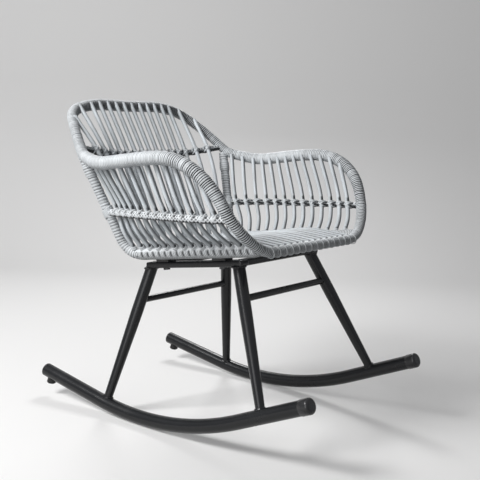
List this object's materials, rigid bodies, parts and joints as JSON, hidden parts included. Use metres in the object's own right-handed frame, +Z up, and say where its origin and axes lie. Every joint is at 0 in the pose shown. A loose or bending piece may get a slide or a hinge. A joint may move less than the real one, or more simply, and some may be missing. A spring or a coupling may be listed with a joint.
{
  "type": "rocking chair",
  "caption": "Rocking armchair: a bucket shell of parallel cane rods inside one wound cane rim, on splayed tapered steel legs and two bent tube rockers.",
  "frame": {"origin": "on the floor under the middle of the chair's overall box", "axes": "+Z up; the chair faces -Y; +X is the sitter's left"},
  "size_m": [0.5794, 0.7386, 0.6857],
  "materials": {
    "cane_wrap": "satin",
    "cane_pole": "satin",
    "cane_rod": "satin",
    "frame_black": "satin",
    "plastic_black": "matte",
    "rubber_black": "matte",
    "bolt_black": "satin"
  },
  "bodies": {
    "root": {"rim": "cane_wrap", "left_side_pole": "cane_wrap", "right_side_pole": "cane_wrap", "left_seat_edging": "cane_wrap", "right_seat_edging": "cane_wrap", "left_post_binding": "cane_wrap", "right_post_binding": "cane_wrap", "front_seat_pole": "cane_pole", "rear_seat_pole": "cane_pole", "seat_rear_pole": "cane_pole", "left_arm_rail": "cane_rod", "right_arm_rail": "cane_rod", "back_rail": "cane_rod", "left_arm_rods": "cane_rod", "right_arm_rods": "cane_rod", "back_rods": "cane_rod", "seat_rods": "cane_rod", "left_rocker": "frame_black", "right_rocker": "frame_black", "front_left_leg": "frame_black", "front_right_leg": "frame_black", "rear_left_leg": "frame_black", "rear_right_leg": "frame_black", "front_stretcher": "frame_black", "rear_stretcher": "frame_black", "left_side_bar": "frame_black", "right_side_bar": "frame_black", "front_cross_bar": "frame_black", "rear_cross_bar": "frame_black", "left_rear_plug": "frame_black", "right_rear_plug": "frame_black", "front_caps": "plastic_black", "left_front_bar_plug": "plastic_black", "left_rear_bar_plug": "plastic_black", "right_front_bar_plug": "plastic_black", "right_rear_bar_plug": "plastic_black", "front_left_saddle": "plastic_black", "front_right_saddle": "plastic_black", "rear_left_saddle": "plastic_black", "rear_right_saddle": "plastic_black", "rear_stops": "rubber_black", "front_left_bolt": "bolt_black", "front_right_bolt": "bolt_black", "rear_left_bolt": "bolt_black", "rear_right_bolt": "bolt_black"}
  },
  "joints": []
}
